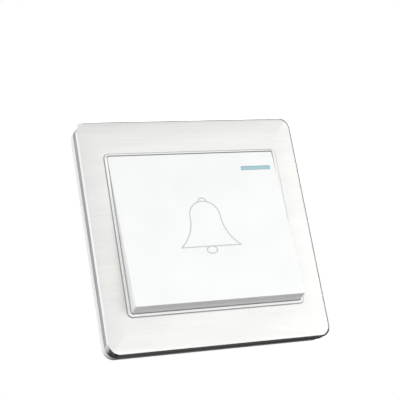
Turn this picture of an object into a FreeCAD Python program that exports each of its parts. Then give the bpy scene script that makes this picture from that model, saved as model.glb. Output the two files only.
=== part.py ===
import FreeCAD, Part
import math
import os

# Doorbell push button on a square wall plate. Millimetres. The wall is the plane Y = 0, the
# front faces -Y, Z is up, and the origin is midway between the two fixing screws.

V = FreeCAD.Vector
ORIGIN = V(0, 0, 0)
X_AXIS = V(1, 0, 0)
Y_AXIS = V(0, 1, 0)
Z_AXIS = V(0, 0, 1)

# Plate: the driving sizes of the outside.
plate_side = 86.0
plate_depth = 8.0
plate_corner_radius = 4.5
front_chamfer = 0.55
side_band_depth = 3.2
base_inset = 0.4
wall_thickness = 1.6
screw_centres = 60.3
screw_slot_radius = 2.1
screw_slot_length = 6.4
screw_head_radius = 3.6
screw_head_recess = 0.85

# Window in the plate and the white rim around the key.
side_border = 8.95
end_border = 12.92
window_corner_radius = 1.8
rim_width = 1.05
rim_top_width = 0.6
rim_proud = 0.4
rim_joint = 0.15

# Brushed sheet and the panel behind it.
sheet_thickness = 0.6
sheet_joint = 0.08
sheet_edge_run = 7.0
sheet_edge_fall = 0.35
panel_thickness = 1.2
panel_play = 0.1
hook_width = 6.0
hook_thickness = 1.2
hook_inset = 2.5
hook_rise = 20.0
hook_barb = 0.8
hook_play = 0.3

# Key: tilted about X, its lower edge proud of the rim and its top edge just behind it.
key_play = 0.27
key_top_sink = 0.2
key_bottom_rise = 5.05
key_end_draft = 1.1
key_wall = 1.6
key_corner_radius = 0.6
key_edge_radius = 0.3
key_lip_height = 1.7
key_lip_groove = 0.15
press_angle = 6.0
floor_clearance = 0.25

# Pivot of the key, measured from the front of the base and the sides of the insert's cover.
pivot_height = 1.75
pivot_rise = 0.4
pin_radius = 1.25
pin_play = 0.1
pin_past_ear = 0.2
ear_margin = 0.3
ear_thickness = 2.0
ear_radius = 2.1
ear_clearance = 0.4
cheek_thickness = 2.0
cheek_play = 0.4
cheek_radius = 1.6

# Inner half of the key.
web_thickness = 1.4
web_margin = 0.3
low_wall_height = 6.0
rib_width = 5.0
rib_thickness = 2.4
stop_rib_reach = 12.0
stop_rib_margin = 7.0
stop_rib_size = 2.0
stop_play = 0.1
stake_radius = 1.2
stake_play = 0.1
stake_root = 0.1
stake_side_margin = 5.78
stake_end_margin = 8.58
stake_proud = 0.8
head_clearance = 0.4

# Luminous bar, measured from the key's right and top edges, and the bell outline, measured
# along the key's face from its middle.
glow_length = 12.1
glow_height = 1.6
glow_thickness = 1.2
glow_side_margin = 2.18
glow_end_margin = 5.78
glow_corner_radius = 0.25
glow_joint = 0.05
bell_line_width = 0.42
bell_line_depth = 0.2
bell_tip_x = 11.6
bell_base_s = -8.15
bell_crown_s = 9.45
bell_crown_radius = 5.9
bell_loop_radius = 1.5
bell_loop_height = 1.25
clapper_half_width = 1.95
clapper_half_height = 1.35

# Switch insert behind the plate.
insert_side = 48.0
insert_back = 19.0
insert_wall = 1.8
cover_inset = 1.5
cover_play = 0.2
cover_ledge = 1.2
cover_flange_thickness = 1.5
cover_boss_radius = 2.4
insert_corner_radius = 2.0
clip_width = 10.0
clip_rise = 14.0
clip_thickness = 1.2
clip_barb = 1.0
clip_barb_thickness = 1.0
clip_play = 0.1

# Plunger, its spring and its well in the cover. Its height is measured from the insert's lower end.
plunger_margin = 10.4
plunger_proud = 2.75
plunger_head_radius = 3.8
plunger_head_height = 1.6
plunger_stem_radius = 2.2
plunger_tip_radius = 1.2
plunger_tip_length = 1.6
plunger_gap = 0.06
well_play = 0.5
well_wall = 1.4
well_floor = 2.0
stem_play = 0.1
spring_wire_radius = 0.3
spring_inner_play = 0.6
spring_turns = 5.0
spring_play = 0.05

# Contacts and terminals.
bridge_front = 5.4
bridge_length = 16.0
bridge_width = 4.4
strip_thickness = 0.6
strip_overhang = 0.4
contact_inset = 1.6
contact_radius = 1.4
contact_height = 0.65
contact_travel_gap = 1.55
bridge_washer_radius = 2.2
bridge_washer_thickness = 0.4
pillar_radius = 2.2
terminal_side_gap = 3.9
terminal_size = 6.8
terminal_play = 0.2
wire_hole_radius = 1.6
wire_hole_floor = 1.55
wire_entry_radius = 2.1
terminal_screw_radius = 1.5
terminal_head_radius = 1.9
terminal_head_height = 1.8
terminal_access_radius = 2.6
partition_thickness = 1.2

# Screws of the insert.
post_inset = 4.1
post_radius = 3.2
post_start = 1.0
post_seat = 4.0
post_well_play = 0.2
housing_screw_radius = 1.2
housing_screw_play = 0.1
housing_head_radius = 2.2
housing_head_height = 1.6
recess_width = 0.7
recess_depth = 0.9
recess_share = 0.75

# Cuts run past the faces that they open by this length, and endless spaces reach this far.
past = 1.0
far = 200.0
same_place = 1e-6

# Places worked out from the sizes above.
window_width = plate_side - 2 * side_border
window_height = plate_side - 2 * end_border
sheet_y = -plate_depth
panel_front_y = sheet_y + sheet_thickness
panel_back_y = panel_front_y + panel_thickness
rim_y = sheet_y - rim_proud
base_front_y = sheet_y + front_chamfer + side_band_depth
base_back_y = base_front_y + wall_thickness
base_side = plate_side - 2 * base_inset
screw_seat_y = base_front_y + screw_head_recess
screw_head_length = screw_slot_length + 2 * (screw_head_radius - screw_slot_radius)
panel_side = plate_side - 2 * (wall_thickness + panel_play)
hook_reach = panel_side / 2 - hook_inset - hook_thickness / 2
flange_back_y = base_back_y + cover_flange_thickness
cover_side = insert_side - 2 * cover_inset
cover_flange_width = insert_side + 2 * cover_ledge
floor_y = insert_back - insert_wall
post_reach = insert_side / 2 - post_inset
post_well_radius = housing_head_radius + post_well_play
ear_inner = cover_side / 2 - ear_margin - ear_thickness
pin_end = ear_inner + ear_thickness + pin_past_ear
rim_inner_width = window_width - 2 * rim_width
rim_inner_height = window_height - rim_width - rim_top_width
key_rise = (rim_width - rim_top_width) / 2
key_width = rim_inner_width - 2 * key_play
key_height = rim_inner_height - 2 * key_play
key_top_z = key_rise + key_height / 2
key_low_z = key_rise - key_height / 2
key_top_y = rim_y + key_top_sink
key_bottom_y = rim_y - key_bottom_rise
key_bottom_z = key_low_z + key_end_draft
pivot = V(0, base_front_y - pivot_height, pivot_rise)
face_length = math.hypot(key_top_y - key_bottom_y, key_top_z - key_bottom_z)
face_tilt = math.degrees(math.asin((key_top_y - key_bottom_y) / face_length))
face_middle = V(0, (key_top_y + key_bottom_y) / 2, (key_top_z + key_bottom_z) / 2)
glow_centre_x = key_width / 2 - glow_side_margin - glow_length / 2
glow_centre_s = face_length / 2 - glow_end_margin - glow_height / 2
stake_reach_x = key_width / 2 - stake_side_margin
stake_reach_s = face_length / 2 - stake_end_margin
stop_rib_rise = key_height / 2 - stop_rib_margin
plunger_z = plunger_margin - insert_side / 2
plunger_front_y = base_front_y - plunger_proud
plunger_neck_y = plunger_front_y + plunger_head_height
well_radius = plunger_head_radius + well_play
spring_radius = plunger_stem_radius + spring_inner_play + spring_wire_radius
contact_reach = bridge_length / 2 - contact_inset
bridge_back = bridge_front + strip_thickness
fixed_contact_y = bridge_back + contact_height + contact_travel_gap
strip_y = fixed_contact_y + contact_height
terminal_front_y = strip_y + strip_thickness
terminal_back_y = floor_y - terminal_play
terminal_screw_y = (terminal_front_y + terminal_back_y) / 2
terminal_reach = insert_side / 2 - insert_wall - terminal_side_gap - terminal_size / 2
pillar_reach = (partition_thickness / 2 + terminal_reach - terminal_size / 2) / 2
wire_hole_front_y = terminal_front_y + wire_hole_floor
SIDES = (-1, 1)


def box(x_range, y_range, z_range):
    """Box between the given limits."""
    size = [high - low for low, high in (x_range, y_range, z_range)]
    return Part.makeBox(size[0], size[1], size[2], V(x_range[0], y_range[0], z_range[0]))


def edges_along(shape, axis):
    """Straight edges of the shape that run along the axis."""
    found = []
    for edge in shape.Edges:
        if len(edge.Vertexes) == 2:
            run = edge.Vertexes[1].Point.sub(edge.Vertexes[0].Point)
            if abs(abs(run.dot(axis)) - edge.Length) < same_place:
                found.append(edge)
    return found


def edges_at_y(shape, y):
    """Edges of the shape that lie in the plane at y."""
    return [edge for edge in shape.Edges
            if abs(edge.BoundBox.YMin - y) < same_place and abs(edge.BoundBox.YMax - y) < same_place]


def plate(width, height, radius, y_front, y_back, centre_z=0.0):
    """Rectangular plate with rounded corners, flat to the wall."""
    z_range = (centre_z - height / 2, centre_z + height / 2)
    body = box((-width / 2, width / 2), (y_front, y_back), z_range)
    if radius > 0:
        body = body.makeFillet(radius, edges_along(body, Y_AXIS))
    return body


def rod(radius, y_front, y_back, x=0.0, z=0.0):
    """Round bar square to the wall."""
    return Part.makeCylinder(radius, y_back - y_front, V(x, y_front, z), Y_AXIS)


def upright_rod(radius, z_low, z_high, x, y):
    """Round bar along Z."""
    return Part.makeCylinder(radius, z_high - z_low, V(x, y, z_low), Z_AXIS)


def cross_rod(radius, x_low, x_high, y, z):
    """Round bar along X."""
    return Part.makeCylinder(radius, x_high - x_low, V(x_low, y, z), X_AXIS)


def stadium(radius, length, y_front, y_back, x):
    """Slot-shaped bar square to the wall, its long way along X."""
    run = length / 2 - radius
    body = box((x - run, x + run), (y_front, y_back), (-radius, radius))
    return body.fuse([rod(radius, y_front, y_back, x - run), rod(radius, y_front, y_back, x + run)])


def key_pressed_floor(clearance):
    """Space that the key must stay out of at rest, so that it clears the floor at rest and pressed."""
    limit = base_front_y - clearance
    space = box((-far, far), (limit, far), (-far, far))
    pressed = space.rotated(pivot, X_AXIS, -press_angle)
    return space.fuse(pressed)


def on_key_face(shape):
    """Move a shape from the plane Y = 0 onto the key's face, its middle on the face's middle."""
    placed = shape.rotated(ORIGIN, X_AXIS, -face_tilt)
    placed.translate(face_middle)
    return placed


def make_trim_sheet():
    """Brushed sheet with the window, its face drawn back a little toward all four edges."""
    side = plate_side - 2 * (front_chamfer + sheet_joint)
    sheet = plate(side, side, plate_corner_radius - front_chamfer - sheet_joint, sheet_y, panel_front_y)
    window = plate(window_width, window_height, window_corner_radius,
                   sheet_y - past, panel_front_y + past)
    drawn = drawn_space(side / 2)
    return sheet.cut(window).common(drawn).common(drawn.rotated(ORIGIN, Y_AXIS, 90))


def drawn_space(edge_x):
    """Space behind a face that is flat in its middle and curves back toward both edges along X."""
    radius = (sheet_edge_run ** 2 + sheet_edge_fall ** 2) / (2 * sheet_edge_fall)
    flat_x = edge_x - sheet_edge_run
    centre_y = sheet_y + radius
    arcs = []
    for side in SIDES:
        points = []
        for run in (0, sheet_edge_run / 2, sheet_edge_run + past):
            points.append(V(side * (flat_x + run), centre_y - math.sqrt(radius ** 2 - run ** 2), -far))
        arcs.append(Part.Arc(*points))
    left, right = arcs
    back = [V(-edge_x - past, 0, -far), V(edge_x + past, 0, -far)]
    outline = [left.toShape(), Part.makeLine(left.StartPoint, right.StartPoint), right.toShape(),
               Part.makeLine(right.EndPoint, back[1]), Part.makeLine(back[1], back[0]),
               Part.makeLine(back[0], left.EndPoint)]
    return Part.Face(Part.Wire(Part.__sortEdges__(outline))).extrude(V(0, 0, 2 * far))


def make_outer_frame():
    """Surround with the fine chamfer and the side band, and a ledge that carries the sheet's edge."""
    ring = plate(plate_side, plate_side, plate_corner_radius, sheet_y, base_front_y)
    ring = ring.makeChamfer(front_chamfer, edges_at_y(ring, sheet_y))
    recess_side = plate_side - 2 * front_chamfer
    recess = plate(recess_side, recess_side, plate_corner_radius - front_chamfer,
                   sheet_y - past, panel_front_y)
    inner_side = plate_side - 2 * wall_thickness
    inside = plate(inner_side, inner_side, plate_corner_radius - wall_thickness,
                   sheet_y - past, base_front_y + past)
    return ring.cut([recess, inside])


def make_front_panel():
    """White panel behind the sheet, with the rim around the key and four hooks into the base."""
    corner = plate_corner_radius - wall_thickness - panel_play
    panel = plate(panel_side, panel_side, corner, panel_front_y, panel_back_y)
    collar = plate(window_width - 2 * rim_joint, window_height - 2 * rim_joint,
                   window_corner_radius - rim_joint, rim_y, panel_back_y)
    collar = collar.makeFillet(rim_joint, edges_at_y(collar, rim_y))
    opening = plate(rim_inner_width, rim_inner_height, window_corner_radius - rim_width,
                    rim_y - past, panel_back_y + past, key_rise)
    panel = panel.fuse(collar).cut(opening)
    hook_back = base_back_y + hook_thickness
    inner = hook_reach - hook_thickness / 2
    outer = hook_reach + hook_thickness / 2
    for side_x in SIDES:
        for side_z in SIDES:
            z_range = (side_z * hook_rise - hook_width / 2, side_z * hook_rise + hook_width / 2)
            stem_x = sorted((side_x * inner, side_x * outer))
            barb_x = sorted((side_x * (inner - hook_barb), side_x * inner))
            stem = box(stem_x, (panel_back_y, hook_back), z_range)
            barb = box(barb_x, (base_back_y, hook_back), z_range)
            panel = panel.fuse([stem, barb])
    return panel.removeSplitter()


def make_mounting_base():
    """Back plate with its skirt, the screw slots and the openings for the insert and the hooks."""
    corner = plate_corner_radius - base_inset
    base = plate(base_side, base_side, corner, base_front_y, 0)
    hollow_side = base_side - 2 * wall_thickness
    hollow = plate(hollow_side, hollow_side, corner - wall_thickness, base_back_y, past)
    base = base.cut(hollow)
    ring_side = panel_side - 2 * panel_play
    ring_front = panel_back_y + hook_play
    ring = plate(ring_side, ring_side, corner - wall_thickness, ring_front, base_front_y)
    ring_hole_side = ring_side - 2 * hook_thickness
    ring_hole = plate(ring_hole_side, ring_hole_side, corner - 2 * wall_thickness + base_inset,
                      ring_front - past, base_front_y + past)
    base = base.fuse(ring.cut(ring_hole))
    opening_side = cover_side + 2 * cover_play
    opening = plate(opening_side, opening_side, insert_corner_radius,
                    base_front_y - past, base_back_y + past)
    base = base.cut(opening)
    for side in SIDES:
        x = side * screw_centres / 2
        boss = stadium(screw_head_radius, screw_head_length, base_back_y, 0, x)
        seat = stadium(screw_head_radius, screw_head_length, base_front_y - past, screw_seat_y, x)
        slot = stadium(screw_slot_radius, screw_slot_length, base_front_y - past, past, x)
        base = base.fuse(boss).cut(seat).cut(slot)
    for side_x in SIDES:
        for side_z in SIDES:
            base = base.cut(hook_hole(side_x, side_z))
            base = base.fuse(insert_clip(side_x, side_z * clip_rise))
    return base.removeSplitter()


def hook_hole(side_x, side_z):
    """Space of one hook in the base, wide enough for its barb to pass."""
    reach = hook_thickness / 2 + hook_play
    x_range = sorted((side_x * (hook_reach - reach - hook_barb), side_x * (hook_reach + reach)))
    half = hook_width / 2 + hook_play
    z_range = (side_z * hook_rise - half, side_z * hook_rise + half)
    return box(x_range, (base_front_y - past, base_back_y), z_range)


def insert_clip(side, centre_z):
    """Clip of the base that reaches behind the insert's flange."""
    inner = cover_flange_width / 2 + clip_play
    barb_front = flange_back_y + clip_play / 2
    barb_back = barb_front + clip_barb_thickness
    z_range = (centre_z - clip_width / 2, centre_z + clip_width / 2)
    stem_x = sorted((side * inner, side * (inner + clip_thickness)))
    barb_x = sorted((side * (inner - clip_barb), side * inner))
    stem = box(stem_x, (base_back_y, barb_back), z_range)
    return stem.fuse(box(barb_x, (barb_front, barb_back), z_range))


def make_module_cover():
    """Cover of the insert, with the bearing ears and the plunger's well."""
    cover = plate(cover_side, cover_side, insert_corner_radius - cover_play, base_front_y, base_back_y)
    flange = plate(cover_flange_width, insert_side, insert_corner_radius, base_back_y, flange_back_y)
    cover = cover.fuse(flange)
    well_back = well_floor + well_wall
    cover = cover.fuse(rod(well_radius + well_wall, base_back_y, well_back, 0, plunger_z))
    cover = cover.cut(rod(well_radius, base_front_y - past, well_floor, 0, plunger_z))
    stem_hole_radius = plunger_stem_radius + stem_play
    cover = cover.cut(rod(stem_hole_radius, well_floor - past, well_back + past, 0, plunger_z))
    boss_side = insert_side - 2 * insert_wall - 2 * cover_play
    boss_space = plate(boss_side, boss_side, insert_corner_radius / 2, base_back_y, post_start)
    for side in SIDES:
        cover = cover.fuse(bearing_ear(side))
        for side_z in SIDES:
            x = side * post_reach
            z = side_z * post_reach
            boss = rod(cover_boss_radius, base_back_y, post_start, x, z).common(boss_space)
            cover = cover.fuse(boss)
            cover = cover.cut(rod(housing_screw_radius, base_back_y, post_start + past, x, z))
    return cover.removeSplitter()


def bearing_ear(side):
    """Ear that carries one pin of the key."""
    x_range = sorted((side * ear_inner, side * (ear_inner + ear_thickness)))
    foot = box(x_range, (pivot.y, base_back_y), (pivot.z - ear_radius, pivot.z + ear_radius))
    head = cross_rod(ear_radius, x_range[0], x_range[1], pivot.y, pivot.z)
    hole = cross_rod(pin_radius + pin_play, x_range[0], x_range[1], pivot.y, pivot.z)
    return foot.fuse(head).cut(hole)


def make_rear_housing():
    """Open box behind the plate, with screw posts, strip pillars, a partition and the wire entries."""
    housing = plate(insert_side, insert_side, insert_corner_radius, flange_back_y, insert_back)
    hollow_side = insert_side - 2 * insert_wall
    hollow = plate(hollow_side, hollow_side, insert_corner_radius / 2, flange_back_y - past, floor_y)
    housing = housing.cut(hollow)
    outline = plate(insert_side, insert_side, insert_corner_radius, post_start, insert_back)
    screw_hole_radius = housing_screw_radius + housing_screw_play
    for side_x in SIDES:
        for side_z in SIDES:
            x = side_x * post_reach
            z = side_z * post_reach
            housing = housing.fuse(rod(post_radius, post_start, insert_back, x, z).common(outline))
            housing = housing.cut(rod(screw_hole_radius, post_start - past, insert_back, x, z))
            housing = housing.cut(rod(post_well_radius, post_seat, insert_back + past, x, z))
        pillar = rod(pillar_radius, terminal_front_y, floor_y, side_x * pillar_reach, plunger_z)
        x = side_x * terminal_reach
        entry = rod(wire_entry_radius, floor_y - past, insert_back + past, x, plunger_z)
        access = upright_rod(terminal_access_radius, -insert_side / 2 - past,
                             past - hollow_side / 2, x, terminal_screw_y)
        housing = housing.fuse(pillar).cut([entry, access])
    partition = box((-partition_thickness / 2, partition_thickness / 2), (terminal_front_y, floor_y),
                    (-hollow_side / 2, plunger_z + terminal_size))
    return housing.fuse(partition).removeSplitter()


def cross_recess(radius, top_y):
    """Cross-shaped recess for the tip of a screwdriver, cut into a head whose top is at top_y."""
    reach = recess_share * radius
    depth = (top_y - recess_depth, top_y)
    half = recess_width / 2
    return box((-reach, reach), depth, (-half, half)).fuse(box((-half, half), depth, (-reach, reach)))


def make_housing_screw(side_x, side_z):
    """Screw that holds the housing to the cover, put in from the back."""
    top = post_seat + housing_head_height
    screw = rod(housing_head_radius, post_seat, top)
    screw = screw.makeFillet(housing_head_height / 3, edges_at_y(screw, top))
    screw = screw.fuse(rod(housing_screw_radius, base_back_y, post_seat))
    screw = screw.cut(cross_recess(housing_head_radius, top))
    screw.translate(V(side_x * post_reach, 0, side_z * post_reach))
    return screw


def make_contact_strip(side):
    """Brass strip from the fixed contact to the terminal block."""
    inner = contact_reach - contact_radius - strip_overhang
    outer = terminal_reach + terminal_size / 2
    x_range = sorted((side * inner, side * outer))
    half = bridge_width / 2
    strip = box(x_range, (strip_y, terminal_front_y), (plunger_z - half, plunger_z + half))
    return strip.makeFillet(half / 2, edges_along(strip, Y_AXIS))


def make_contact(side, y_front):
    """Silver contact, a low round button."""
    return rod(contact_radius, y_front, y_front + contact_height, side * contact_reach, plunger_z)


def make_terminal_block(side):
    """Brass block with the wire hole and the threaded hole of the clamp screw."""
    x = side * terminal_reach
    half = terminal_size / 2
    z_range = (plunger_z - half, plunger_z + half)
    block = box((x - half, x + half), (terminal_front_y, terminal_back_y), z_range)
    wire_hole = rod(wire_hole_radius, wire_hole_front_y, terminal_back_y + past, x, plunger_z)
    screw_hole = upright_rod(terminal_screw_radius, z_range[0], plunger_z, x, terminal_screw_y)
    return block.cut([wire_hole, screw_hole])


def make_terminal_screw(side):
    """Clamp screw, put in from below, its tip just short of the wire hole."""
    seat_z = plunger_z - terminal_size / 2
    shank_length = terminal_size / 2 - wire_hole_radius - terminal_play
    shank = rod(terminal_screw_radius, -shank_length, 0)
    head = rod(terminal_head_radius, 0, terminal_head_height)
    head = head.makeFillet(terminal_head_height / 4, edges_at_y(head, terminal_head_height))
    screw = shank.fuse(head).cut(cross_recess(terminal_head_radius, terminal_head_height))
    screw.rotate(ORIGIN, X_AXIS, -90)
    screw.translate(V(side * terminal_reach, terminal_screw_y, seat_z))
    return screw


def make_plunger_spring():
    """Coil spring around the plunger, between the well's floor and the plunger's head."""
    end_room = spring_wire_radius + spring_play
    length = well_floor - plunger_neck_y - 2 * end_room
    helix = Part.makeHelix(length / spring_turns, length, spring_radius)
    section = Part.Wire(Part.makeCircle(spring_wire_radius, V(spring_radius, 0, 0), Y_AXIS))
    coil = Part.Wire(helix.Edges).makePipeShell([section], True, True)
    coil.rotate(ORIGIN, X_AXIS, -90)
    coil.translate(V(0, plunger_neck_y + end_room, plunger_z))
    return coil


def make_plunger():
    """Plunger with its broad head, the stem and the tip that carries the bridge."""
    head = rod(plunger_head_radius, plunger_front_y, plunger_neck_y)
    head = head.makeFillet(plunger_head_height / 4, edges_at_y(head, plunger_front_y))
    stem = rod(plunger_stem_radius, plunger_neck_y, bridge_front)
    tip = rod(plunger_tip_radius, bridge_front, bridge_front + plunger_tip_length)
    plunger = head.fuse([stem, tip])
    plunger.translate(V(0, 0, plunger_z))
    return plunger


def make_contact_bridge():
    """Brass strip on the plunger's tip."""
    half = bridge_width / 2
    bridge = box((-bridge_length / 2, bridge_length / 2), (bridge_front, bridge_back),
                 (plunger_z - half, plunger_z + half))
    bridge = bridge.makeFillet(half / 2, edges_along(bridge, Y_AXIS))
    return bridge.cut(rod(plunger_tip_radius, bridge_front - past, bridge_back + past, 0, plunger_z))


def make_bridge_washer():
    """Push-on washer behind the bridge."""
    back = bridge_back + bridge_washer_thickness
    washer = rod(bridge_washer_radius, bridge_back, back, 0, plunger_z)
    return washer.cut(rod(plunger_tip_radius, bridge_back - past, back + past, 0, plunger_z))


def key_envelope():
    """Outside of the key at rest: tilted face, sloping lower end, edges slightly rounded."""
    deep_y = base_front_y
    corners = [V(0, key_top_y, key_top_z), V(0, key_bottom_y, key_bottom_z), V(0, rim_y, key_low_z),
               V(0, deep_y, key_low_z), V(0, deep_y, key_top_z)]
    face = Part.Face(Part.makePolygon(corners + [corners[0]]))
    face.translate(V(-key_width / 2, 0, 0))
    body = face.extrude(V(key_width, 0, 0))
    corner_edges = [edge for edge in body.Edges
                    if abs(abs(edge.CenterOfMass.x) - key_width / 2) < same_place
                    and edge.BoundBox.ZLength < key_end_draft + same_place
                    and edge.BoundBox.YLength > same_place]
    body = body.makeFillet(key_corner_radius, corner_edges)
    front = max(body.Faces, key=lambda face: -face.normalAt(0, 0).y)
    return body.makeFillet(key_edge_radius, front.Edges)


def key_lip_space(front_y):
    """Space at the key's lower end, behind front_y, that the carrier's lip fills."""
    return box((-far, far), (front_y, far), (-far, key_bottom_z + key_wall))


def screw_head_space():
    """Space over the fixing screws' heads."""
    radius = screw_head_radius + head_clearance
    length = screw_head_length + 2 * head_clearance
    front = panel_back_y - key_play
    spaces = [stadium(radius, length, front, past, side * screw_centres / 2) for side in SIDES]
    return spaces[0].fuse(spaces[1])


def face_block(width, low_s, high_s, front, back):
    """Block laid along the key's face, its depths measured inward from the face."""
    return on_key_face(box((-width / 2, width / 2), (front, back), (low_s, high_s)))


def stake_places():
    """Places of the four stakes that join the two halves of the key, along the face."""
    return [(side_x * stake_reach_x, side_s * stake_reach_s)
            for side_x in SIDES for side_s in SIDES]


def bell_outline():
    """Closed centre line of the bell in the plane Z = 0: a crown, two flares and a straight base."""
    crown_s = bell_crown_s - bell_crown_radius
    out = bell_tip_x - bell_crown_radius
    drop = crown_s - bell_base_s
    flare_radius = (out ** 2 + drop ** 2) / (2 * out)
    half_turn = math.asin(drop / flare_radius) / 2
    middle_x = bell_crown_radius + flare_radius * (1 - math.cos(half_turn))
    middle_s = crown_s - flare_radius * math.sin(half_turn)
    flares = [Part.Arc(V(side * bell_crown_radius, crown_s, 0), V(side * middle_x, middle_s, 0),
                       V(side * bell_tip_x, bell_base_s, 0)).toShape() for side in SIDES]
    crown = Part.Arc(V(-bell_crown_radius, crown_s, 0), V(0, bell_crown_s, 0),
                     V(bell_crown_radius, crown_s, 0))
    base = Part.makeLine(V(-bell_tip_x, bell_base_s, 0), V(bell_tip_x, bell_base_s, 0))
    return Part.Wire(Part.__sortEdges__(flares + [crown.toShape(), base]))


def ellipse_disc(half_width, half_height, centre_s):
    """Elliptical disc in the plane Z = 0, wider than it is high."""
    disc = Part.Face(Part.Wire(Part.Ellipse(ORIGIN, half_width, half_height).toShape()))
    disc.translate(V(0, centre_s, 0))
    return disc


def ellipse_ring(half_width, half_height, centre_s):
    """Ring of the bell's line width along an ellipse."""
    half = bell_line_width / 2
    outer = ellipse_disc(half_width + half, half_height + half, centre_s)
    return outer.cut(ellipse_disc(half_width - half, half_height - half, centre_s))


def bell_shape(depth_front, depth_back):
    """Bell outline as a thin line of even width with its loop and clapper, laid on the key's face."""
    outline = bell_outline()
    half = bell_line_width / 2
    inside = Part.Face(outline.makeOffset2D(-half))
    body = Part.Face(outline.makeOffset2D(half)).cut(inside)
    loop = ellipse_ring(bell_loop_radius, bell_loop_height, bell_crown_s).cut(Part.Face(outline))
    clapper_s = bell_base_s - clapper_half_height
    clapper = ellipse_ring(clapper_half_width, clapper_half_height, clapper_s)
    line = body.extrude(V(0, 0, depth_front - depth_back))
    for ring in (loop, clapper):
        line = line.fuse(ring.extrude(V(0, 0, depth_front - depth_back)))
    line.rotate(ORIGIN, X_AXIS, 90)
    line.translate(V(0, depth_front, 0))
    return on_key_face(line.removeSplitter())


def make_glow_strip():
    """Luminous bar, flush with the key's face."""
    length = glow_length - 2 * glow_joint
    height = glow_height - 2 * glow_joint
    bar = plate(length, height, glow_corner_radius, 0, glow_thickness)
    bar.translate(V(glow_centre_x, 0, glow_centre_s))
    return on_key_face(bar)


def make_key_plate():
    """Outer half of the key: a shallow cap with a pocket for the bar and a groove for the bell."""
    cap = key_envelope().cut(key_pressed_floor(floor_clearance))
    cavity_top = key_top_z - key_wall
    cavity_low = key_bottom_z + key_wall
    half = key_width / 2 - key_wall
    inside = box((-half, half), (-far, far), (cavity_low, cavity_top))
    inside = inside.common(behind_face())
    cap = cap.cut(inside).cut(key_lip_space(rim_y - key_lip_height)).cut(screw_head_space())
    pocket = plate(glow_length, glow_height, glow_corner_radius, -past, glow_thickness)
    pocket.translate(V(glow_centre_x, 0, glow_centre_s))
    cap = cap.cut(on_key_face(pocket)).cut(bell_shape(-bell_line_depth / 2, bell_line_depth))
    stake_tip = key_wall + web_thickness + stake_proud
    for x, s in stake_places():
        stake = rod(stake_radius, key_wall - stake_root, stake_tip, x, s)
        cap = cap.fuse(on_key_face(stake))
    return cap.removeSplitter()


def make_key_carrier():
    """Inner half of the key: web, lip, cheeks with the pins, plunger rib and stops."""
    top_s = face_length / 2 - key_wall - web_margin
    low_s = -face_length / 2 + key_wall + web_margin
    width = key_width - 2 * (key_wall + web_margin)
    inner = key_wall + web_thickness
    carrier = face_block(width, low_s, top_s, key_wall, inner)
    low_wall_back = inner + low_wall_height
    low_wall = face_block(width, low_s, low_s + web_thickness, key_wall, low_wall_back)
    carrier = carrier.fuse(low_wall)
    lip_y = rim_y - key_lip_height + key_lip_groove
    lip = key_envelope().common(key_lip_space(lip_y))
    tongue_z = key_bottom_z + key_wall
    half = web_thickness / 2
    tongue = box((-width / 2, width / 2), (lip_y, far), (tongue_z - half, tongue_z + half))
    carrier = carrier.fuse([lip, tongue]).fuse(plunger_rib())
    for side in SIDES:
        for side_z in SIDES:
            carrier = carrier.fuse(stop_rib(side * stop_rib_reach, side_z * stop_rib_rise))
    carrier = carrier.fuse(cheek(-1)).fuse(cheek(1))
    carrier = carrier.common(behind_face().fuse(lip))
    for side in SIDES:
        carrier = carrier.cut(ear_window(side).cut(pin(side)))
    for x, s in stake_places():
        carrier = carrier.cut(on_key_face(rod(stake_radius + stake_play, 0, low_wall_back, x, s)))
    carrier = carrier.cut(key_pressed_floor(stop_play)).cut(screw_head_space())
    return carrier.removeSplitter()


def behind_face():
    """Everything that lies further in than the key's outer wall."""
    return face_block(2 * far, -far, far, key_wall, far)


def plunger_rib():
    """Rib under the web with the round nose that meets the plunger."""
    half = rib_thickness / 2
    nose_y = plunger_front_y - plunger_gap - half
    nose = cross_rod(half, -rib_width / 2, rib_width / 2, nose_y, plunger_z)
    rib = box((-rib_width / 2, rib_width / 2), (face_middle.y, nose_y),
              (plunger_z - half, plunger_z + half))
    return rib.fuse(nose)


def ear_window(side):
    """Room around one bearing ear, open toward the key's face."""
    x_range = sorted((side * (ear_inner - cheek_play / 2),
                      side * (ear_inner + ear_thickness + cheek_play)))
    half = ear_radius + ear_clearance
    return box(x_range, (-far, pivot.y), (pivot.z - half, pivot.z + half))


def stop_rib(x, z):
    """Short rib under the web that meets the floor at one end of the key's travel."""
    half = stop_rib_size / 2
    rib = box((x - half, x + half), (face_middle.y, far), (z - half, z + half))
    return rib.common(behind_face())


def cheek(side):
    """Cheek under the web with one pivot pin."""
    outer = ear_inner - cheek_play
    x_range = sorted((side * (outer - cheek_thickness), side * outer))
    z_range = (pivot.z - cheek_radius, pivot.z + cheek_radius)
    arm = box(x_range, (face_middle.y, pivot.y), z_range)
    foot = cross_rod(cheek_radius, x_range[0], x_range[1], pivot.y, pivot.z)
    return arm.fuse([foot, pin(side)])


def pin(side):
    """Pivot pin of the key, from the cheek through the ear."""
    outer = ear_inner - cheek_play
    x_range = sorted((side * (outer - cheek_thickness), side * pin_end))
    return cross_rod(pin_radius, x_range[0], x_range[1], pivot.y, pivot.z)


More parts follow.
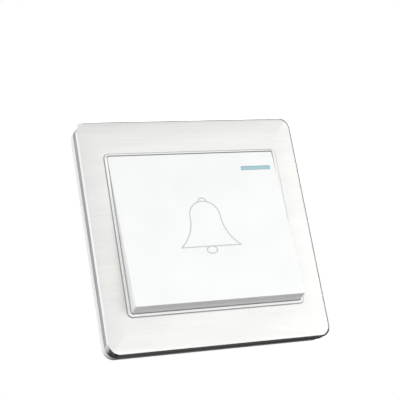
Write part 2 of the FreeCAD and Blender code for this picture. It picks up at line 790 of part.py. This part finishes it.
def all_pieces():
    """Every piece of the doorbell push by name."""
    pieces = {
        "trim_sheet": make_trim_sheet(),
        "outer_frame": make_outer_frame(),
        "front_panel": make_front_panel(),
        "mounting_base": make_mounting_base(),
        "module_cover": make_module_cover(),
        "rear_housing": make_rear_housing(),
        "plunger_spring": make_plunger_spring(),
        "key_plate": make_key_plate(),
        "bell_mark": bell_shape(0, bell_line_depth),
        "glow_strip": make_glow_strip(),
        "key_carrier": make_key_carrier(),
        "plunger": make_plunger(),
        "contact_bridge": make_contact_bridge(),
        "bridge_washer": make_bridge_washer(),
    }
    corners = [(side_x, side_z) for side_z in (1, -1) for side_x in SIDES]
    for number, (side_x, side_z) in enumerate(corners, 1):
        pieces["housing_screw_%d" % number] = make_housing_screw(side_x, side_z)
    for number, side in enumerate(SIDES, 1):
        pieces["contact_strip_%d" % number] = make_contact_strip(side)
        pieces["fixed_contact_%d" % number] = make_contact(side, fixed_contact_y)
        pieces["bridge_contact_%d" % number] = make_contact(side, bridge_back)
        pieces["terminal_block_%d" % number] = make_terminal_block(side)
        pieces["terminal_screw_%d" % number] = make_terminal_screw(side)
    return pieces


def main():
    os.makedirs("parts", exist_ok=True)
    for name, shape in all_pieces().items():
        solids = shape.Solids
        if len(solids) != 1 or not shape.isValid():
            raise RuntimeError("%s: %d solids, valid %s" % (name, len(solids), shape.isValid()))
        solids[0].exportStep("parts/%s.step" % name)
        print("%s %.1f mm3" % (name, solids[0].Volume))


main()
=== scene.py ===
import math

import bmesh
import bpy
from mathutils import Matrix, Vector


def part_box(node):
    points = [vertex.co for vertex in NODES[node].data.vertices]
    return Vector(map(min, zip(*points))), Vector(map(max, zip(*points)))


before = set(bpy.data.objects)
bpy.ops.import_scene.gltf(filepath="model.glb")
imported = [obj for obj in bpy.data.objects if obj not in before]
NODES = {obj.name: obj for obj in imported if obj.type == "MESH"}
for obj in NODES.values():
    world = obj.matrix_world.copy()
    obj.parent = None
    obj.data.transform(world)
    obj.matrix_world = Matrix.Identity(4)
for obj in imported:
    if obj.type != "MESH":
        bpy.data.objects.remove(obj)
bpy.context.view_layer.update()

bl_info = {
    "name": "Doorbell Push Button",
    "version": (1, 0, 0),
    "blender": (4, 5, 0),
    "location": "3D View > Sidebar > Doorbell",
    "description": "Finishes a doorbell push button on a square wall plate and sets up its studio",
    "category": "Object",
}

MM = 0.001

# Most values of a noise texture lie between these two.
NOISE_LOW = 0.3
NOISE_HIGH = 0.7

# Painted shade along the window's edge: the share of the sheet's own red, green and blue left
# there.
RIM_SHADE = (0.5, 0.5, 0.5, 1.0)

# The photograph's camera: its place in millimetres, and how far it turns to the right, looks up
# and tips clockwise, in degrees.
CAMERA_PLACE = (-175.2, -400.0, -116.2)
CAMERA_TURN = 24.107
CAMERA_RISE = 16.534
CAMERA_TIP = 10.003
SENSOR_WIDTH = 36.0
NEAREST_SEEN = 0.01
FARTHEST_SEEN = 20.0

FLOOR_CELLS = 8

# Soft boxes of the studio: azimuth from straight in front, positive to the plate's right, and
# elevation, both in degrees; full and outermost angle of the glow; brightness.
SOFT_BOXES = (
    ("left", -90, 0, 5, 38, 0.95),
    ("front_left", -30, 0, 5, 38, 1.98),
    ("front_right", 30, 0, 5, 38, 2.11),
    ("right", 60, 0, 5, 38, 1.50),
    ("left_high", -75, 38, 5, 42, 0.85),
    ("front_left_high", -25, 38, 5, 42, 0.12),
    ("right_behind", 113, 15, 5, 28, 1.20),
    ("behind_left", -125, 5, 5, 45, 1.63),
    ("behind", 180, 5, 5, 45, 0.08),
    ("behind_high", 184, 50, 5, 38, 0.75),
    ("behind_right_high", 145, 40, 5, 42, 0.96),
    ("right_behind_high", 124, 62, 5, 28, 0.56),
    ("above", 0, 88, 10, 55, 0.81),
    ("below_right", 56, -62, 5, 34, 0.09),
    ("below_left", -51, -44, 5, 30, 0.09),
)


def linear(hex_colour):
    """Turn an sRGB hex colour into linear red, green, blue and alpha."""
    parts = [int(hex_colour[place:place + 2], 16) / 255 for place in (1, 3, 5)]
    return tuple(part / 12.92 if part <= 0.04045 else ((part + 0.055) / 1.055) ** 2.4
                 for part in parts) + (1.0,)


def shaded(colour, share):
    """Scale a colour's red, green and blue by the share, up to full brightness."""
    return tuple(min(1.0, share * part) for part in colour[:3]) + (1.0,)


class PlateLooks(bpy.types.PropertyGroup):
    """Colours and surface sizes of the wall plate."""

    sheet_colour: bpy.props.FloatVectorProperty(
        name="Sheet colour", description="Colour of the brushed aluminium sheet",
        subtype="COLOR", size=4, min=0.0, max=1.0, default=linear("#EAEBE9"))
    line_spacing: bpy.props.FloatProperty(
        name="Brush line spacing", description="Distance between the lines of the brushing",
        default=0.45 * MM, min=0.05 * MM, unit="LENGTH")
    line_length: bpy.props.FloatProperty(
        name="Brush line length", description="Usual length of one line of the brushing",
        default=18 * MM, min=1 * MM, unit="LENGTH")
    window_width: bpy.props.FloatProperty(
        name="Window width", description="Width of the sheet's window around the key",
        default=68.1 * MM, min=5 * MM, unit="LENGTH")
    window_height: bpy.props.FloatProperty(
        name="Window height", description="Height of the sheet's window around the key",
        default=60.16 * MM, min=5 * MM, unit="LENGTH")
    window_corner: bpy.props.FloatProperty(
        name="Window corner radius", description="Radius of the corners of the sheet's window",
        default=1.8 * MM, min=0.0, unit="LENGTH")
    # Width of the painted shade along the window's edge: a darkened band on the sheet that stands
    # for the shade at the rim's joint.
    rim_shade_band: bpy.props.FloatProperty(
        name="Punch band", description="Width of the dull band that the punch leaves at the window",
        default=0.35 * MM, min=0.05 * MM, unit="LENGTH")
    frame_colour: bpy.props.FloatVectorProperty(
        name="Frame colour", description="Colour of the chromed surround",
        subtype="COLOR", size=4, min=0.0, max=1.0, default=linear("#DDE0E2"))
    panel_colour: bpy.props.FloatVectorProperty(
        name="Panel colour", description="Colour of the white panel and its rim",
        subtype="COLOR", size=4, min=0.0, max=1.0, default=linear("#F3F4F4"))
    base_colour: bpy.props.FloatVectorProperty(
        name="Base colour", description="Colour of the white mounting base",
        subtype="COLOR", size=4, min=0.0, max=1.0, default=linear("#EFF0EF"))


class KeyLooks(bpy.types.PropertyGroup):
    """Colours of the key and of what is let into its face."""

    key_colour: bpy.props.FloatVectorProperty(
        name="Key colour", description="Colour of the white key",
        subtype="COLOR", size=4, min=0.0, max=1.0, default=linear("#F5F6F7"))
    bell_colour: bpy.props.FloatVectorProperty(
        name="Bell line colour", description="Colour of the ink in the bell outline",
        subtype="COLOR", size=4, min=0.0, max=1.0, default=linear("#B9BCBE"))
    bar_colour: bpy.props.FloatVectorProperty(
        name="Bar colour", description="Colour of the luminous bar at its middle",
        subtype="COLOR", size=4, min=0.0, max=1.0, default=linear("#A6CBD4"))
    bar_edge_colour: bpy.props.FloatVectorProperty(
        name="Bar edge colour", description="Colour of the luminous bar near its edges",
        subtype="COLOR", size=4, min=0.0, max=1.0, default=linear("#8FB4BE"))


class InsertLooks(bpy.types.PropertyGroup):
    """Colours of the switch insert behind the plate."""

    housing_colour: bpy.props.FloatVectorProperty(
        name="Housing colour", description="Colour of the insert's moulded housing and cover",
        subtype="COLOR", size=4, min=0.0, max=1.0, default=linear("#E6E6E1"))
    plunger_colour: bpy.props.FloatVectorProperty(
        name="Plunger colour", description="Colour of the plunger",
        subtype="COLOR", size=4, min=0.0, max=1.0, default=linear("#DADAD4"))
    brass_colour: bpy.props.FloatVectorProperty(
        name="Brass colour", description="Colour of the terminals and strips",
        subtype="COLOR", size=4, min=0.0, max=1.0, default=linear("#E0BE77"))
    silver_colour: bpy.props.FloatVectorProperty(
        name="Silver colour", description="Colour of the contact buttons",
        subtype="COLOR", size=4, min=0.0, max=1.0, default=linear("#EDEBE6"))
    screw_colour: bpy.props.FloatVectorProperty(
        name="Screw colour", description="Colour of the zinc-plated screws",
        subtype="COLOR", size=4, min=0.0, max=1.0, default=linear("#C0C4C9"))
    spring_colour: bpy.props.FloatVectorProperty(
        name="Spring colour", description="Colour of the drawn spring wire and the washer",
        subtype="COLOR", size=4, min=0.0, max=1.0, default=linear("#A9ACB0"))


class StageLooks(bpy.types.PropertyGroup):
    """Sizes and brightness of the studio."""

    lens: bpy.props.FloatProperty(
        name="Lens", description="Focal length of the camera in millimetres",
        default=110.9, min=20.0, unit="CAMERA")
    floor_drop: bpy.props.FloatProperty(
        name="Floor drop", description="Height of the plate's middle over the floor",
        default=600 * MM, min=50 * MM, unit="LENGTH")
    floor_side: bpy.props.FloatProperty(
        name="Floor side", description="Side of the square floor",
        default=6.0, min=0.5, unit="LENGTH")
    floor_colour: bpy.props.FloatVectorProperty(
        name="Floor colour", description="Colour of the matt white floor",
        subtype="COLOR", size=4, min=0.0, max=1.0, default=linear("#E9E9E7"))
    brightness: bpy.props.FloatProperty(
        name="Brightness", description="Brightness of all the soft boxes together",
        default=1.0, min=0.0)
    light_colour: bpy.props.FloatVectorProperty(
        name="Light colour", description="Colour of the studio light",
        subtype="COLOR", size=4, min=0.0, max=1.0, default=linear("#FFFFFE"))


def new_material(name):
    """Make an empty node material."""
    material = bpy.data.materials.new(name)
    material.use_nodes = True
    material.node_tree.nodes.clear()
    return material


def add(material, kind, inputs=None, **settings):
    """Add one node with its settings, and put values or other nodes' outputs on its inputs."""
    node = material.node_tree.nodes.new(kind)
    for name, value in settings.items():
        setattr(node, name, value)
    for name, value in (inputs or {}).items():
        if isinstance(value, bpy.types.NodeSocket):
            material.node_tree.links.new(value, node.inputs[name])
        else:
            node.inputs[name].default_value = value
    return node


def paint(node_names, material):
    """Give the material to every slot of the named nodes."""
    for name in node_names:
        mesh = NODES[name].data
        if not mesh.materials:
            mesh.materials.append(material)
        for place in range(len(mesh.materials)):
            mesh.materials[place] = material


def rim_shade_mask(material, place, looks):
    """Make the share of the painted rim shade: 1 at the edge of the sheet's window, 0 beyond the
    band.
    """
    corner = looks.window_corner
    straight = (looks.window_width / 2 - corner, 0.0, looks.window_height / 2 - corner)
    mirrored = add(material, "ShaderNodeVectorMath", {0: place}, operation="ABSOLUTE")
    past = add(material, "ShaderNodeVectorMath", {
        0: mirrored.outputs["Vector"], 1: straight}, operation="SUBTRACT")
    outside = add(material, "ShaderNodeVectorMath", {
        0: past.outputs["Vector"], 1: (0.0, 0.0, 0.0)}, operation="MAXIMUM")
    in_plane = add(material, "ShaderNodeVectorMath", {
        0: outside.outputs["Vector"], 1: (1.0, 0.0, 1.0)}, operation="MULTIPLY")
    away = add(material, "ShaderNodeVectorMath", {
        0: in_plane.outputs["Vector"]}, operation="LENGTH")
    return add(material, "ShaderNodeMapRange", {
        "Value": away.outputs["Value"], "From Min": corner, "From Max": corner + looks.rim_shade_band,
        "To Min": 1.0, "To Max": 0.0}).outputs["Result"]


def brushed_aluminium(looks):
    """Brushed aluminium sheet, clear anodised.

    Fine level lines scatter the light up and down, so the sheet looks silky and nearly white.
    The real lines are about 0.1 mm apart, too fine to show, and are drawn coarser here. A narrow
    band along the window's edge is darkened as painted shade, a fine dark line around the rim.
    """
    material = new_material("brushed_aluminium")
    place = add(material, "ShaderNodeTexCoord").outputs["Object"]
    fine = add(material, "ShaderNodeMapping", {
        "Vector": place,
        "Scale": (1 / looks.line_length, 1 / looks.line_length, 1 / looks.line_spacing)})
    lines = add(material, "ShaderNodeTexNoise", {
        "Vector": fine.outputs["Vector"], "Scale": 1.0, "Detail": 5.0, "Roughness": 0.7})
    broad = add(material, "ShaderNodeMapping", {
        "Vector": place, "Scale": (1 / (25 * MM), 1 / (25 * MM), 1 / (4 * MM))})
    streaks = add(material, "ShaderNodeTexNoise", {
        "Vector": broad.outputs["Vector"], "Scale": 1.0, "Detail": 2.0, "Roughness": 0.5})
    both = add(material, "ShaderNodeMath", {
        0: streaks.outputs["Fac"], 1: 0.5, 2: lines.outputs["Fac"]}, operation="MULTIPLY_ADD")
    shade = add(material, "ShaderNodeMapRange", {
        "Value": both.outputs["Value"], "From Min": 0.5, "From Max": 1.0,
        "To Min": 0.0, "To Max": 1.0})
    darker = shaded(looks.sheet_colour, 0.9)
    colour = add(material, "ShaderNodeMix", {
        0: shade.outputs["Result"], 6: darker, 7: tuple(looks.sheet_colour)}, data_type="RGBA")
    # Painted shade: the band along the window's edge is multiplied darker, a fine dark line around
    # the rim.
    with_rim_shade = add(material, "ShaderNodeMix", {
        0: rim_shade_mask(material, place, looks), 6: colour.outputs[2], 7: RIM_SHADE},
        data_type="RGBA", blend_type="MULTIPLY")
    roughness = add(material, "ShaderNodeMapRange", {
        "Value": lines.outputs["Fac"], "From Min": NOISE_LOW, "From Max": NOISE_HIGH,
        "To Min": 0.55, "To Max": 0.65})
    grooves = add(material, "ShaderNodeBump", {
        "Height": lines.outputs["Fac"], "Strength": 0.35, "Distance": 0.02 * MM})
    shader = add(material, "ShaderNodeBsdfPrincipled", {
        "Base Color": with_rim_shade.outputs[2], "Metallic": 1.0,
        "Roughness": roughness.outputs["Result"], "Normal": grooves.outputs["Normal"],
        "Anisotropic": 0.25, "Anisotropic Rotation": 0.25})
    add(material, "ShaderNodeOutputMaterial", {"Surface": shader.outputs["BSDF"]})
    return material


def chromed_plastic(looks):
    """Chrome-plated ABS moulding.

    A bright thin metal skin over a smooth moulding: sharp reflections with a faint waviness.
    """
    material = new_material("chromed_plastic")
    place = add(material, "ShaderNodeTexCoord").outputs["Object"]
    wave = add(material, "ShaderNodeTexNoise", {
        "Vector": place, "Scale": 1 / (9 * MM), "Detail": 1.0, "Roughness": 0.4})
    haze = add(material, "ShaderNodeTexNoise", {
        "Vector": place, "Scale": 1 / (3 * MM), "Detail": 3.0, "Roughness": 0.6})
    roughness = add(material, "ShaderNodeMapRange", {
        "Value": haze.outputs["Fac"], "From Min": NOISE_LOW, "From Max": NOISE_HIGH,
        "To Min": 0.10, "To Max": 0.17})
    surface = add(material, "ShaderNodeBump", {
        "Height": wave.outputs["Fac"], "Strength": 0.25, "Distance": 0.03 * MM})
    shader = add(material, "ShaderNodeBsdfPrincipled", {
        "Base Color": tuple(looks.frame_colour), "Metallic": 1.0,
        "Roughness": roughness.outputs["Result"], "Normal": surface.outputs["Normal"]})
    add(material, "ShaderNodeOutputMaterial", {"Surface": shader.outputs["BSDF"]})
    return material


def moulded_plastic(name, colour, roughness, grain, grain_depth, swell_depth):
    """Injection-moulded plastic: a fine mould grain over a slight swell of the thick places.

    The grain softens the highlights and the swell bends them a little, which tells it from paint.
    """
    material = new_material(name)
    place = add(material, "ShaderNodeTexCoord").outputs["Object"]
    fine = add(material, "ShaderNodeTexNoise", {
        "Vector": place, "Scale": 1 / grain, "Detail": 3.0, "Roughness": 0.55})
    swell = add(material, "ShaderNodeTexNoise", {
        "Vector": place, "Scale": 1 / (14 * MM), "Detail": 1.0, "Roughness": 0.4})
    cloud = add(material, "ShaderNodeMapRange", {
        "Value": swell.outputs["Fac"], "From Min": NOISE_LOW, "From Max": NOISE_HIGH,
        "To Min": 0.0, "To Max": 1.0})
    duller = shaded(colour, 0.965)
    tint = add(material, "ShaderNodeMix", {
        0: cloud.outputs["Result"], 6: duller, 7: tuple(colour)}, data_type="RGBA")
    gloss = add(material, "ShaderNodeMapRange", {
        "Value": fine.outputs["Fac"], "From Min": NOISE_LOW, "From Max": NOISE_HIGH,
        "To Min": roughness - 0.04, "To Max": roughness + 0.04})
    broad = add(material, "ShaderNodeBump", {
        "Height": swell.outputs["Fac"], "Strength": 0.3, "Distance": swell_depth})
    surface = add(material, "ShaderNodeBump", {
        "Height": fine.outputs["Fac"], "Strength": 0.4, "Distance": grain_depth,
        "Normal": broad.outputs["Normal"]})
    shader = add(material, "ShaderNodeBsdfPrincipled", {
        "Base Color": tint.outputs[2], "Roughness": gloss.outputs["Result"],
        "IOR": 1.55, "Normal": surface.outputs["Normal"]})
    add(material, "ShaderNodeOutputMaterial", {"Surface": shader.outputs["BSDF"]})
    return material


def luminous_acrylic(looks):
    """Afterglow acrylic bar: pale blue, milky, clearest along its middle, with a polished skin."""
    material = new_material("luminous_acrylic")
    place = add(material, "ShaderNodeTexCoord").outputs["Object"]
    low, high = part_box("glow_strip")
    middle = (low[2] + high[2]) / 2
    half = (high[2] - low[2]) / 2
    apart = add(material, "ShaderNodeSeparateXYZ", {0: place})
    centred = add(material, "ShaderNodeMath", {
        0: apart.outputs["Z"], 1: middle}, operation="SUBTRACT")
    across = add(material, "ShaderNodeMath", {0: centred.outputs["Value"]}, operation="ABSOLUTE")
    edge = add(material, "ShaderNodeMapRange", {
        "Value": across.outputs["Value"], "From Min": 0.35 * half, "From Max": 0.95 * half,
        "To Min": 0.0, "To Max": 1.0}, interpolation_type="SMOOTHSTEP")
    grains = add(material, "ShaderNodeTexNoise", {
        "Vector": place, "Scale": 1 / (0.4 * MM), "Detail": 2.0, "Roughness": 0.6})
    mixed = add(material, "ShaderNodeMix", {
        0: edge.outputs["Result"], 6: tuple(looks.bar_colour), 7: tuple(looks.bar_edge_colour)},
        data_type="RGBA")
    speckle = add(material, "ShaderNodeMapRange", {
        "Value": grains.outputs["Fac"], "From Min": NOISE_LOW, "From Max": NOISE_HIGH,
        "To Min": 0.94, "To Max": 1.04})
    colour = add(material, "ShaderNodeVectorMath", {
        0: mixed.outputs[2], "Scale": speckle.outputs["Result"]}, operation="SCALE")
    shader = add(material, "ShaderNodeBsdfPrincipled", {
        "Base Color": colour.outputs["Vector"], "Roughness": 0.18, "IOR": 1.49,
        "Subsurface Weight": 0.15, "Subsurface Scale": 0.5 * MM})
    add(material, "ShaderNodeOutputMaterial", {"Surface": shader.outputs["BSDF"]})
    return material


def wiped_ink(looks):
    """Grey printing ink wiped into the moulded line: flat, matt and slightly uneven."""
    material = new_material("wiped_ink")
    place = add(material, "ShaderNodeTexCoord").outputs["Object"]
    uneven = add(material, "ShaderNodeTexNoise", {
        "Vector": place, "Scale": 1 / (1.2 * MM), "Detail": 3.0, "Roughness": 0.6})
    amount = add(material, "ShaderNodeMapRange", {
        "Value": uneven.outputs["Fac"], "From Min": NOISE_LOW, "From Max": NOISE_HIGH,
        "To Min": 0.0, "To Max": 1.0})
    lighter = shaded(looks.bell_colour, 1.18)
    colour = add(material, "ShaderNodeMix", {
        0: amount.outputs["Result"], 6: tuple(looks.bell_colour), 7: lighter}, data_type="RGBA")
    shader = add(material, "ShaderNodeBsdfPrincipled", {
        "Base Color": colour.outputs[2], "Roughness": 0.6, "IOR": 1.5})
    add(material, "ShaderNodeOutputMaterial", {"Surface": shader.outputs["BSDF"]})
    return material


def worked_metal(name, colour, roughness, mark, mark_depth):
    """Bare or plated metal with fine marks of its making, which break up its highlights."""
    material = new_material(name)
    place = add(material, "ShaderNodeTexCoord").outputs["Object"]
    marks = add(material, "ShaderNodeTexNoise", {
        "Vector": place, "Scale": 1 / mark, "Detail": 4.0, "Roughness": 0.6})
    stain = add(material, "ShaderNodeTexNoise", {
        "Vector": place, "Scale": 1 / (6 * MM), "Detail": 2.0, "Roughness": 0.5})
    amount = add(material, "ShaderNodeMapRange", {
        "Value": stain.outputs["Fac"], "From Min": NOISE_LOW, "From Max": NOISE_HIGH,
        "To Min": 0.0, "To Max": 1.0})
    duller = shaded(colour, 0.82)
    tint = add(material, "ShaderNodeMix", {
        0: amount.outputs["Result"], 6: duller, 7: tuple(colour)}, data_type="RGBA")
    polish = add(material, "ShaderNodeMapRange", {
        "Value": marks.outputs["Fac"], "From Min": NOISE_LOW, "From Max": NOISE_HIGH,
        "To Min": roughness - 0.07, "To Max": roughness + 0.07})
    surface = add(material, "ShaderNodeBump", {
        "Height": marks.outputs["Fac"], "Strength": 0.5, "Distance": mark_depth})
    shader = add(material, "ShaderNodeBsdfPrincipled", {
        "Base Color": tint.outputs[2], "Metallic": 1.0,
        "Roughness": polish.outputs["Result"], "Normal": surface.outputs["Normal"]})
    add(material, "ShaderNodeOutputMaterial", {"Surface": shader.outputs["BSDF"]})
    return material


class FinishTrimSheet(bpy.types.Operator):
    """Brush the aluminium sheet of the plate"""

    bl_idname = "doorbell.finish_trim_sheet"
    bl_label = "Finish trim sheet"

    def execute(self, context):
        paint(["trim_sheet"], brushed_aluminium(context.scene.doorbell_plate))
        return {"FINISHED"}


class FinishOuterFrame(bpy.types.Operator):
    """Chrome the surround of the plate"""

    bl_idname = "doorbell.finish_outer_frame"
    bl_label = "Finish outer frame"

    def execute(self, context):
        paint(["outer_frame"], chromed_plastic(context.scene.doorbell_plate))
        return {"FINISHED"}


class FinishWhitePlate(bpy.types.Operator):
    """Finish the white panel with its rim, and the mounting base"""

    bl_idname = "doorbell.finish_white_plate"
    bl_label = "Finish white plate"

    def execute(self, context):
        looks = context.scene.doorbell_plate
        paint(["front_panel"], moulded_plastic(
            "glossy_white_abs", looks.panel_colour, roughness=0.24,
            grain=0.35 * MM, grain_depth=0.004 * MM, swell_depth=0.05 * MM))
        paint(["mounting_base"], moulded_plastic(
            "satin_white_abs", looks.base_colour, roughness=0.38,
            grain=0.3 * MM, grain_depth=0.012 * MM, swell_depth=0.05 * MM))
        return {"FINISHED"}


class FinishKey(bpy.types.Operator):
    """Finish both halves of the white key"""

    bl_idname = "doorbell.finish_key"
    bl_label = "Finish key"

    def execute(self, context):
        looks = context.scene.doorbell_key
        paint(["key_plate", "key_carrier"], moulded_plastic(
            "glossy_white_polycarbonate", looks.key_colour, roughness=0.22,
            grain=0.4 * MM, grain_depth=0.003 * MM, swell_depth=0.06 * MM))
        return {"FINISHED"}


class FinishBellMark(bpy.types.Operator):
    """Ink the bell outline on the key"""

    bl_idname = "doorbell.finish_bell_mark"
    bl_label = "Finish bell mark"

    def execute(self, context):
        paint(["bell_mark"], wiped_ink(context.scene.doorbell_key))
        return {"FINISHED"}


class FinishGlowStrip(bpy.types.Operator):
    """Finish the pale blue luminous bar"""

    bl_idname = "doorbell.finish_glow_strip"
    bl_label = "Finish luminous bar"

    def execute(self, context):
        paint(["glow_strip"], luminous_acrylic(context.scene.doorbell_key))
        return {"FINISHED"}


class FinishInsert(bpy.types.Operator):
    """Finish the housing, the cover and the plunger behind the plate"""

    bl_idname = "doorbell.finish_insert"
    bl_label = "Finish insert"

    def execute(self, context):
        looks = context.scene.doorbell_insert
        paint(["rear_housing", "module_cover"], moulded_plastic(
            "matt_white_polycarbonate", looks.housing_colour, roughness=0.5,
            grain=0.3 * MM, grain_depth=0.02 * MM, swell_depth=0.05 * MM))
        paint(["plunger"], moulded_plastic(
            "natural_acetal", looks.plunger_colour, roughness=0.42,
            grain=0.3 * MM, grain_depth=0.01 * MM, swell_depth=0.03 * MM))
        return {"FINISHED"}


class FinishMetalParts(bpy.types.Operator):
    """Finish the brass, the silver contacts, the screws, the spring and the washer"""

    bl_idname = "doorbell.finish_metal_parts"
    bl_label = "Finish metal parts"

    def execute(self, context):
        looks = context.scene.doorbell_insert
        paint(["contact_strip_1", "contact_strip_2", "contact_bridge",
               "terminal_block_1", "terminal_block_2"], worked_metal(
            "rolled_brass", looks.brass_colour, roughness=0.3,
            mark=0.25 * MM, mark_depth=0.004 * MM))
        paint(["fixed_contact_1", "fixed_contact_2",
               "bridge_contact_1", "bridge_contact_2"], worked_metal(
            "silver_contact", looks.silver_colour, roughness=0.28,
            mark=0.3 * MM, mark_depth=0.003 * MM))
        paint(["housing_screw_1", "housing_screw_2", "housing_screw_3", "housing_screw_4",
               "terminal_screw_1", "terminal_screw_2"], worked_metal(
            "zinc_plated_steel", looks.screw_colour, roughness=0.32,
            mark=0.2 * MM, mark_depth=0.004 * MM))
        paint(["plunger_spring", "bridge_washer"], worked_metal(
            "drawn_spring_wire", looks.spring_colour, roughness=0.3,
            mark=0.15 * MM, mark_depth=0.003 * MM))
        return {"FINISHED"}


class BuildStage(bpy.types.Operator):
    """Set up the pale floor, the soft studio light and the camera"""

    bl_idname = "doorbell.build_stage"
    bl_label = "Build stage"

    def execute(self, context):
        looks = context.scene.doorbell_stage
        context.scene.view_settings.view_transform = "Standard"
        make_floor(context.scene, looks)
        light_room(context.scene, looks)
        place_camera(context.scene, looks)
        return {"FINISHED"}


def matt_paint(looks):
    """Matt white wall paint on the floor's board, with the faint texture of the roller."""
    material = new_material("matt_white_paint")
    place = add(material, "ShaderNodeTexCoord").outputs["Object"]
    roll = add(material, "ShaderNodeTexNoise", {
        "Vector": place, "Scale": 1 / (4 * MM), "Detail": 2.0, "Roughness": 0.5})
    surface = add(material, "ShaderNodeBump", {
        "Height": roll.outputs["Fac"], "Strength": 0.2, "Distance": 0.05 * MM})
    shader = add(material, "ShaderNodeBsdfPrincipled", {
        "Base Color": tuple(looks.floor_colour), "Roughness": 0.8,
        "Normal": surface.outputs["Normal"]})
    add(material, "ShaderNodeOutputMaterial", {"Surface": shader.outputs["BSDF"]})
    return material


def make_floor(scene, looks):
    """Lay the floor under the plate, where only the camera sees it."""
    mesh = bpy.data.meshes.new("floor")
    shape = bmesh.new()
    bmesh.ops.create_grid(
        shape, x_segments=FLOOR_CELLS, y_segments=FLOOR_CELLS, size=looks.floor_side / 2)
    bmesh.ops.translate(shape, verts=shape.verts, vec=Vector((0, 0, -looks.floor_drop)))
    shape.to_mesh(mesh)
    shape.free()
    mesh.materials.append(matt_paint(looks))
    floor = bpy.data.objects.new("floor", mesh)
    scene.collection.objects.link(floor)
    floor.visible_glossy = False
    floor.visible_diffuse = False
    floor.visible_shadow = False


def direction(azimuth, elevation):
    """Point from the plate toward a place in the studio."""
    turn = math.radians(azimuth)
    rise = math.radians(elevation)
    return (math.sin(turn) * math.cos(rise), -math.cos(turn) * math.cos(rise), math.sin(rise))


def soft_box(world, way, toward, full, outermost, brightness):
    """Add the glow of one soft box: even within the full angle, gone beyond the outermost one."""
    near = add(world, "ShaderNodeVectorMath", {0: way, 1: toward}, operation="DOT_PRODUCT")
    return add(world, "ShaderNodeMapRange", {
        "Value": near.outputs["Value"], "From Min": math.cos(math.radians(outermost)),
        "From Max": math.cos(math.radians(full)), "To Min": 0.0, "To Max": brightness},
        interpolation_type="SMOOTHSTEP").outputs["Result"]


def light_room(scene, looks):
    """Light the plate with the soft boxes, and show the camera a plain white backdrop."""
    world = bpy.data.worlds.new("studio")
    scene.world = world
    world.use_nodes = True
    world.node_tree.nodes.clear()
    way = add(world, "ShaderNodeTexCoord").outputs["Generated"]
    level = 0.0
    for name, azimuth, elevation, full, outermost, brightness in SOFT_BOXES:
        glow = soft_box(world, way, direction(azimuth, elevation), full, outermost,
                        brightness * looks.brightness)
        level = add(world, "ShaderNodeMath", {
            0: level, 1: glow}, operation="ADD", label=name).outputs["Value"]
    lit = add(world, "ShaderNodeBackground", {
        "Color": tuple(looks.light_colour), "Strength": level})
    seen = add(world, "ShaderNodeBackground", {"Color": linear("#FFFFFF"), "Strength": 1.0})
    eye = add(world, "ShaderNodeLightPath").outputs["Is Camera Ray"]
    both = add(world, "ShaderNodeMixShader", {
        0: eye, 1: lit.outputs["Background"], 2: seen.outputs["Background"]})
    add(world, "ShaderNodeOutputWorld", {"Surface": both.outputs["Shader"]})


def place_camera(scene, looks):
    """Look up at the plate from the left and below, with the camera tipped as in the photograph."""
    data = bpy.data.cameras.new("camera")
    data.lens = looks.lens
    data.sensor_width = SENSOR_WIDTH
    data.clip_start = NEAREST_SEEN
    data.clip_end = FARTHEST_SEEN
    camera = bpy.data.objects.new("camera", data)
    camera.matrix_world = (
        Matrix.Translation(Vector(CAMERA_PLACE) * MM)
        @ Matrix.Rotation(math.radians(-CAMERA_TURN), 4, "Z")
        @ Matrix.Rotation(math.radians(90 + CAMERA_RISE), 4, "X")
        @ Matrix.Rotation(math.radians(-CAMERA_TIP), 4, "Z"))
    scene.collection.objects.link(camera)
    scene.camera = camera


class DoorbellPanel(bpy.types.Panel):
    """Sidebar list of the pieces and the stage"""

    bl_idname = "VIEW3D_PT_doorbell"
    bl_label = "Doorbell"
    bl_space_type = "VIEW_3D"
    bl_region_type = "UI"
    bl_category = "Doorbell"

    def draw(self, context):
        for title, looks in (("Plate", context.scene.doorbell_plate),
                             ("Key", context.scene.doorbell_key),
                             ("Insert", context.scene.doorbell_insert),
                             ("Stage", context.scene.doorbell_stage)):
            section = self.layout.box()
            section.label(text=title)
            for name in looks.__annotations__:
                section.prop(looks, name)
        for operator in OPERATORS:
            self.layout.operator(operator.bl_idname)


PROPERTY_GROUPS = {
    "doorbell_plate": PlateLooks,
    "doorbell_key": KeyLooks,
    "doorbell_insert": InsertLooks,
    "doorbell_stage": StageLooks,
}
OPERATORS = (
    FinishTrimSheet,
    FinishOuterFrame,
    FinishWhitePlate,
    FinishKey,
    FinishBellMark,
    FinishGlowStrip,
    FinishInsert,
    FinishMetalParts,
    BuildStage,
)


def register():
    """Register the property groups, the operators and the panel."""
    for name, group in PROPERTY_GROUPS.items():
        bpy.utils.register_class(group)
        setattr(bpy.types.Scene, name, bpy.props.PointerProperty(type=group))
    for operator in OPERATORS:
        bpy.utils.register_class(operator)
    bpy.utils.register_class(DoorbellPanel)


def unregister():
    """Take the classes out again, last one first."""
    bpy.utils.unregister_class(DoorbellPanel)
    for operator in reversed(OPERATORS):
        bpy.utils.unregister_class(operator)
    for name, group in reversed(PROPERTY_GROUPS.items()):
        delattr(bpy.types.Scene, name)
        bpy.utils.unregister_class(group)


def main():
    """Finish every piece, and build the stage."""
    register()
    for operator in OPERATORS:
        group, action = operator.bl_idname.split(".")
        getattr(getattr(bpy.ops, group), action)()


if __name__ == "__main__":
    main()
